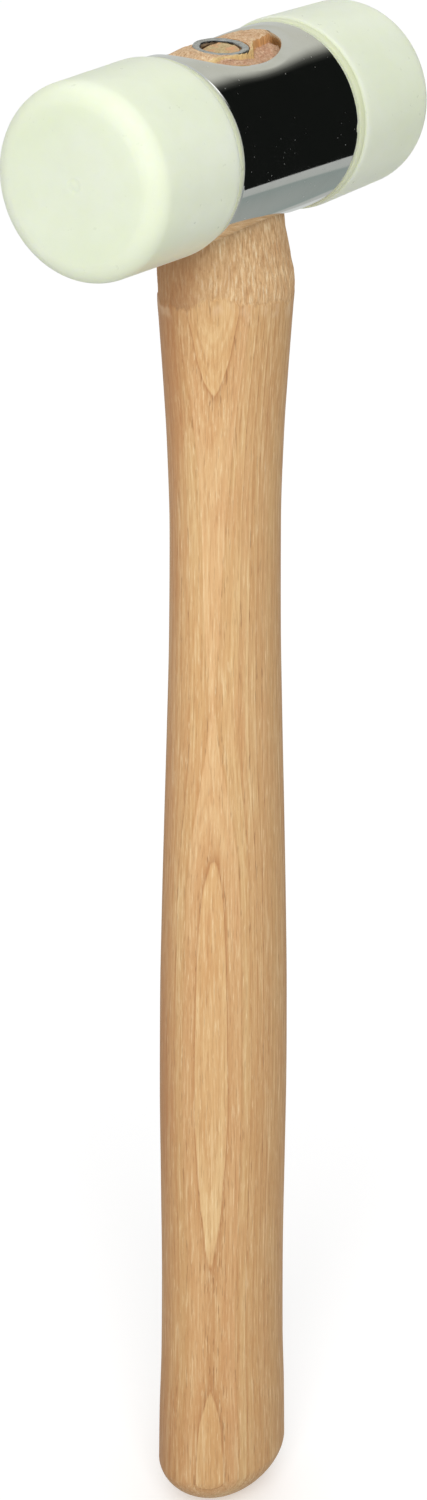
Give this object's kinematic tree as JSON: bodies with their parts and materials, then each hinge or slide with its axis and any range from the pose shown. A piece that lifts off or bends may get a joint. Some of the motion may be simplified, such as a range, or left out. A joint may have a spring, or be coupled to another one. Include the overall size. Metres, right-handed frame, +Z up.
{
  "type": "soft-faced hammer",
  "caption": "Soft-faced hammer with push-in nylon striking faces in a chromed steel tube, on a hickory handle locked in the eye by a steel ring wedge.",
  "frame": {"origin": "on the ground under the middle of the head, at the lowest point of the butt", "axes": "+Z up the handle to the head, +X along the head to the right striking face, +Y across the head"},
  "size_m": [0.093, 0.0364, 0.3104],
  "materials": {
    "head_tube": "bright chrome plate on steel tube, fine handling scratches",
    "nylon": "translucent natural nylon, satin, faint yellow-green tint",
    "hickory": "smooth sanded hickory, satin, rasped and darker at the shoulder",
    "wedge_steel": "plain bright steel, ground edge"
  },
  "bodies": {
    "hammer": {"head_tube": "head_tube", "handle": "hickory", "ring_wedge": "wedge_steel"},
    "left_face": {"striking_face_left": "nylon"},
    "right_face": {"striking_face_right": "nylon"}
  },
  "joints": [
    {"name": "left_face_pull", "type": "slide", "parent": "hammer", "child": "left_face", "axis": [-1, 0, 0], "range_m": [0, 0.02]},
    {"name": "right_face_pull", "type": "slide", "parent": "hammer", "child": "right_face", "axis": [1, 0, 0], "range_m": [0, 0.02]}
  ]
}
